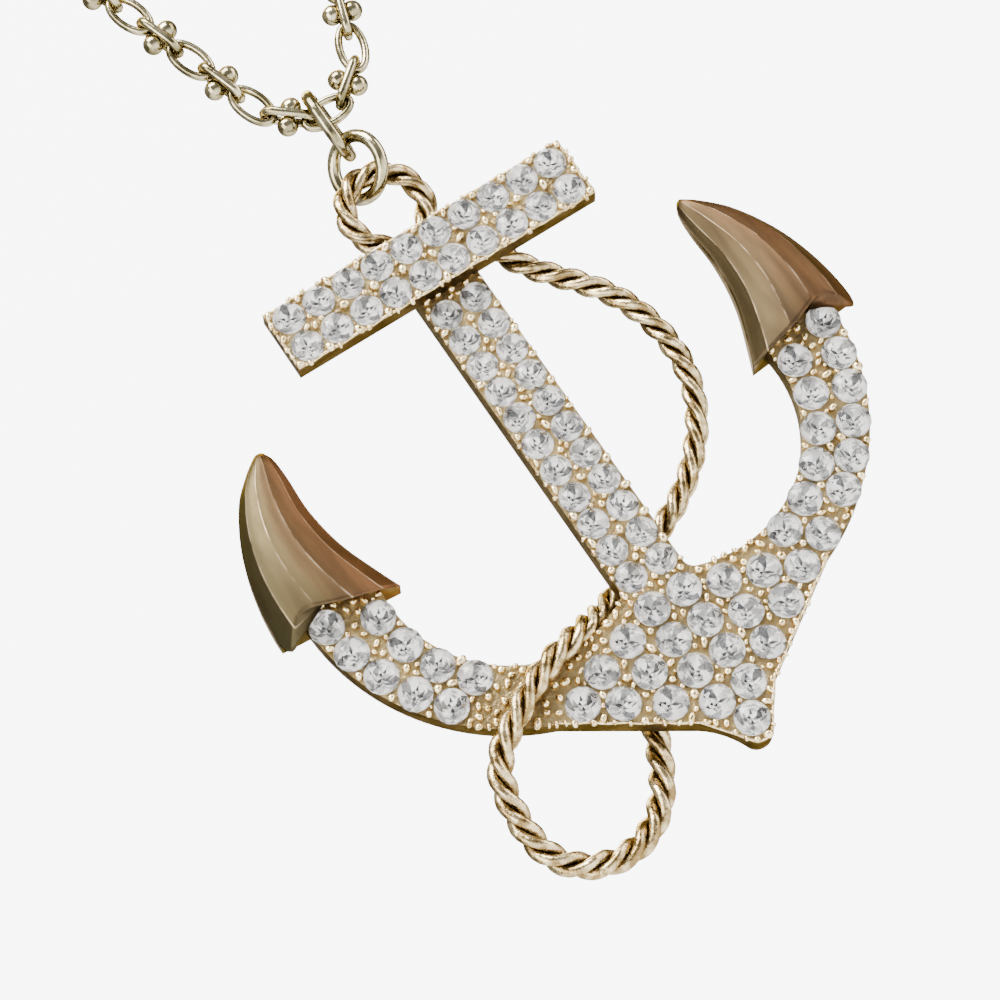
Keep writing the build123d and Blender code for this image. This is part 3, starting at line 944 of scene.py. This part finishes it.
def twist_tree():
    """Three strands laid round a curve. Their points keep how far out they are, as height."""
    tree = Tree("twisted_strands", {
        "Strand Radius": "NodeSocketFloat", "Strand Offset": "NodeSocketFloat",
        "Turns": "NodeSocketFloat", "Step": "NodeSocketFloat", "End Girth": "NodeSocketFloat",
        "Material": "NodeSocketMaterial"})
    evened = tree.add("GeometryNodeResampleCurve", {"mode": "LENGTH"}, {
        "Curve": tree.given("Geometry"), "Length": tree.given("Step")})["Curve"]
    along = tree.add("GeometryNodeSplineParameter")["Factor"]
    turns = tree.math("MULTIPLY", along, tree.given("Turns"))
    angle = tree.math("MULTIPLY", turns, 2 * math.pi)
    tilted = tree.add("GeometryNodeSetCurveTilt", {}, {"Curve": evened, "Tilt": angle})["Curve"]
    girth = tree.add("ShaderNodeMapRange", {"interpolation_type": "SMOOTHSTEP"}, {
        "Value": along, "From Min": ROPE_FULLER[0], "From Max": ROPE_FULLER[1],
        "To Min": 1.0, "To Max": tree.given("End Girth")})[0]
    tilted = tree.add("GeometryNodeSetCurveRadius", {}, {"Curve": tilted, "Radius": girth})["Curve"]
    shift = tree.add("ShaderNodeCombineXYZ", {}, {"X": tree.given("Strand Offset")})[0]
    strand = tree.moved(tree.circle(STRAND_SIDES, tree.given("Strand Radius")), Translation=shift)
    turned = [tree.moved(strand, Rotation=(0, 0, 2 * math.pi * k / 3)) for k in (1, 2)]
    section = tree.joined([strand] + turned)
    tube = tree.tube(tilted, section, {"Fill Caps": True, "Scale": girth})
    middle = tree.add("GeometryNodeCurveToMesh", {}, {"Curve": evened})["Mesh"]
    # how far out each point lies; the wire's material paints shade in the grooves from it
    away = tree.add("GeometryNodeProximity", {"target_element": "EDGES"}, {0: middle})["Distance"]
    full = tree.math("ADD", tree.given("Strand Radius"), tree.given("Strand Offset"))
    share = tree.math("DIVIDE", away, full)
    marked = tree.add("GeometryNodeStoreNamedAttribute", {"data_type": "FLOAT", "domain": "POINT"}, {
        "Geometry": tube, "Name": "height", "Value": share})["Geometry"]
    return tree.end(marked)


def twisted(tree, name, line, closed, girth=1.0):
    """The wire along a line. A closed one gets whole turns, so that its strands meet."""
    length = sum((b - a).length for a, b in zip(line, line[1:]))
    if closed:
        length += (line[0] - line[-1]).length
    turns = -length / (LAY * MM)
    rail = curve_object(name + "_line", [(line, closed)])
    return tend(tree.grow(rail, {
        "Strand Radius": STRAND_R * MM, "Strand Offset": STRAND_OFFSET * MM,
        "Turns": float(round(turns)) if closed else turns,
        "Step": WIRE_STEP * MM, "End Girth": girth, "Material": materials["wire_gold"]}, name))


def rope_line():
    points = [place(x * HALF_SPAN, d * ROPE_DEPTH, z * DROP) for x, z, d in ROPE_ROUTE]
    return spline_through(points, ROPE_POINTS)


def shackle_line():
    bar = place(*SHACKLE_BAR)
    turn = Matrix.Rotation(math.radians(SHACKLE_TURN), 3, "Z")
    lean = Matrix.Rotation(math.radians(SHACKLE_LEAN), 3, "X")
    r = SHACKLE_R * MM
    return [bar + turn @ lean @ Vector((r * math.sin(a), 0, r * math.cos(a) - r))
            for a in (2 * math.pi * k / SHACKLE_POINTS for k in range(SHACKLE_POINTS))]


# Chain

def chain_stations():
    """The links of the right half, upwards from the lowest: (has balls, x, z, heading); and the rise.

    The strands go up straight and then round the nape in an arc that meets the clasp level.
    """
    plain_step = 2 * (LINK_HALF_L - LINK_HALF_W)
    ball_step = 2 * LINK_HALF_L
    start_x = plain_step / 2 + ball_step * math.cos(FIRST_RISE)
    length = PAIRS * (plain_step + ball_step) - ball_step
    turn = math.pi - STRAND_RISE
    neck_r = (start_x + length * math.cos(STRAND_RISE) - CLASP_REACH) / (
        turn * math.cos(STRAND_RISE) + math.sin(STRAND_RISE))
    level = length - neck_r * turn
    x, z, gone = plain_step / 2, 0.0, -ball_step
    stations = []
    for k in range(2 * PAIRS):
        step = plain_step if k % 2 else ball_step
        heading = STRAND_RISE + max(0.0, gone + step / 2 - level) / neck_r if k else FIRST_RISE
        dx, dz = step * math.cos(heading), step * math.sin(heading)
        stations.append((k % 2 == 0, x + dx / 2, z + dz / 2, heading))
        x += dx
        z += dz
        gone += step
    return stations, z


def link_tree():
    """Links on points: upright ones flattened and pointed, flat ovals with a ball on each face."""
    tree = Tree("chain_links", {
        "Half Length": "NodeSocketFloat", "Half Width": "NodeSocketFloat", "Belly": "NodeSocketFloat",
        "Wire": "NodeSocketFloat", "Ball": "NodeSocketFloat", "Ball Rise": "NodeSocketFloat",
        "Material": "NodeSocketMaterial"})

    def times(label, share):
        return tree.math("MULTIPLY", tree.given(label), share)

    box = tree.add("GeometryNodeCurvePrimitiveQuadrilateral", {}, {
        "Width": times("Half Length", 2.0), "Height": times("Half Width", 2.0)})["Curve"]
    oval = tree.add("GeometryNodeFilletCurve", {"mode": "POLY"}, {
        "Curve": box, "Count": 6, "Radius": times("Half Width", 0.999), "Limit Radius": False})["Curve"]
    section = tree.circle(LINK_SIDES, tree.given("Wire"))
    flat = [tree.tube(oval, section)]
    for sign in (1.0, -1.0):
        spot = tree.add("ShaderNodeCombineXYZ", {}, {"Z": times("Ball Rise", sign)})[0]
        ball = tree.add("GeometryNodeMeshIcoSphere", {}, {
            "Radius": tree.given("Ball"), "Subdivisions": 3})["Mesh"]
        flat.append(tree.moved(ball, Translation=spot))
    balled = tree.joined(flat)
    stretch = tree.add("ShaderNodeCombineXYZ", {}, {
        "X": tree.given("Half Length"), "Y": tree.given("Belly"), "Z": 1.0})[0]
    pointed = tree.moved(tree.circle(3 * LINK_SIDES, 1.0), Scale=stretch)
    plain = tree.tube(pointed, tree.moved(section, Scale=LINK_FLATNESS))
    upright = tree.moved(plain, Rotation=(math.pi / 2, 0, 0))
    with_balls = tree.attribute("balls", "BOOLEAN")
    without = tree.add("FunctionNodeBooleanMath", {"operation": "NOT"}, {0: with_balls})[0]
    common = {"Points": tree.given("Geometry"), "Rotation": tree.turn()}
    both = []
    for chosen, shape in ((with_balls, balled), (without, upright)):
        both.append(tree.add("GeometryNodeInstanceOnPoints", {}, {
            **common, "Selection": chosen, "Instance": shape})["Instances"])
    whole = tree.real(tree.joined(both))
    return tree.end(tree.add("GeometryNodeSetShadeSmooth", {}, {"Geometry": whole})[0])


def chain():
    stations, rise = chain_stations()
    lowest = Vector((0, 0, -rise + CLASP_R))
    links = [(False, 0.0, 0.0, 0.0)]
    for balls, x, z, heading in stations:
        links += [(balls, x, z, heading), (balls, -x, z, math.pi - heading)]
    cloud = mesh_object("chain_points", [(lowest + Vector((x, 0, z))) * MM for _, x, z, _ in links], [])
    mark(cloud, "turn", "FLOAT_VECTOR", [c for link in links for c in (0.0, -link[3], 0.0)])
    mark(cloud, "balls", "BOOLEAN", [link[0] for link in links])
    return link_tree().grow(cloud, {
        "Half Length": LINK_HALF_L * MM, "Half Width": LINK_HALF_W * MM, "Belly": LINK_BELLY * MM,
        "Wire": LINK_WIRE * MM, "Ball": BALL_R * MM, "Ball Rise": BALL_RISE * MM,
        "Material": materials["chain_gold"]}, "chain_links")


# Studio

def camera_axes():
    """Right, up and ahead as the camera sees them."""
    ahead = Vector((math.sin(YAW) * math.cos(PITCH), math.cos(YAW) * math.cos(PITCH), math.sin(PITCH)))
    right = Vector((math.cos(YAW), -math.sin(YAW), 0))
    up = right.cross(ahead)
    c, s = math.cos(ROLL), math.sin(ROLL)
    return right * c + up * s, up * c - right * s, ahead


def set_camera():
    right, up, ahead = camera_axes()
    data = bpy.data.cameras.new("camera")
    data.sensor_width = SENSOR_WIDTH
    data.lens = FOCAL_PIXELS * SENSOR_WIDTH / PICTURE_WIDTH
    data.clip_start, data.clip_end = CLIP_METRES
    camera = new_object("camera", data)
    spot = place(*LOOK_AT) - ahead * DISTANCE * MM
    camera.matrix_world = Matrix((
        (right.x, up.x, -ahead.x, spot.x),
        (right.y, up.y, -ahead.y, spot.y),
        (right.z, up.z, -ahead.z, spot.z),
        (0, 0, 0, 1)))
    bpy.context.scene.camera = camera


def set_lights():
    """Soft boxes round the pendant."""
    for name, offset, size, watts, colour in LIGHTS:
        data = bpy.data.lights.new(name, "AREA")
        data.shape = "RECTANGLE"
        data.size, data.size_y = size
        data.energy = watts
        data.color = colour
        light = new_object(name, data)
        light.location = place(*PENDANT_MIDDLE) + Vector(offset)
        light.rotation_euler = (-Vector(offset)).to_track_quat("-Z", "Y").to_euler()


def set_world():
    """Soft grey surroundings with a bright backdrop straight behind the pendant."""
    world = bpy.data.worlds.new("studio")
    bpy.context.scene.world = world
    air = Nodes(world, "Background")
    where = air.add("ShaderNodeTexCoord", out="Generated")
    rise = air.add("ShaderNodeSeparateXYZ", {}, {0: where}, out="Z") * 0.5 + 0.5
    sky = air.add("ShaderNodeValToRGB", {"stops": SKY}, {0: rise})
    ahead = air.add("ShaderNodeVectorMath", {"operation": "DOT_PRODUCT"}, {
        0: where, 1: camera_axes()[2]}, out="Value")
    backdrop = air.add("ShaderNodeValToRGB", {"stops": BACKDROP}, {0: ahead})
    both = {"data_type": "RGBA", "blend_type": "ADD"}
    air.set("Color", air.add("ShaderNodeMix", both, {0: 1.0, 6: sky, 7: backdrop}, out=2))
    air.last.inputs["Strength"].default_value = WORLD_STRENGTH


def set_floor():
    low = place(0, 0, 0).z - FLOOR_DROP
    corners = [(x * FLOOR_HALF, y * FLOOR_HALF, low) for x, y in ((-1, -1), (1, -1), (1, 1), (-1, 1))]
    floor = mesh_object("floor", corners, [(0, 1, 2, 3)])
    floor.data.materials.append(materials["floor_paper"])


# The whole scene

set_camera()
finishes = (cast_gold, bead_gold, fluke_gold, wire_gold, chain_gold, crystal, silvering, floor_paper)
materials = {finish.__name__: finish() for finish in finishes}
kept = {"cast_gold": ("anchor_body", "stock_bar"), "chain_gold": ("jump_ring", "bail", "clasp")}
for finish, nodes in kept.items():
    for node in nodes:
        slots = frame["nodes"][node].data.materials
        slots.clear()
        slots.append(materials[finish])

stone_nodes = ("stones_stock", "stones_shank", "stones_crown")
stones_at = stone_places(*stone_nodes)
radii_of_stones = stone_radii(stones_at)
on_points = strew_tree()
strands = twist_tree()
pieces = [  # piece, body, slot, the nodes it takes the place of
    (set_stones(stones_at, radii_of_stones, on_points), "pendant", "crystal", stone_nodes),
    (set_beads(stones_at, radii_of_stones, on_points), "pendant", "cast_gold", ()),
    (rims(), "pendant", "cast_gold", ()),
    (fluke(-1), "pendant", "polished_gold", ("fluke_left",)),
    (fluke(1), "pendant", "polished_gold", ("fluke_right",)),
    (chain(), "chain", "chain_gold", ("chain_left", "chain_right")),
    (twisted(strands, "rope_strands", rope_line(), False, ROPE_END_GIRTH),
     "pendant", "wire_gold", ("rope",)),
    (twisted(strands, "shackle_strands", shackle_line(), True), "pendant", "wire_gold", ("shackle",)),
]
for piece, body, slot, nodes in pieces:
    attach(piece, body)
    if nodes:
        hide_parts(*nodes)

set_world()
set_floor()
set_lights()
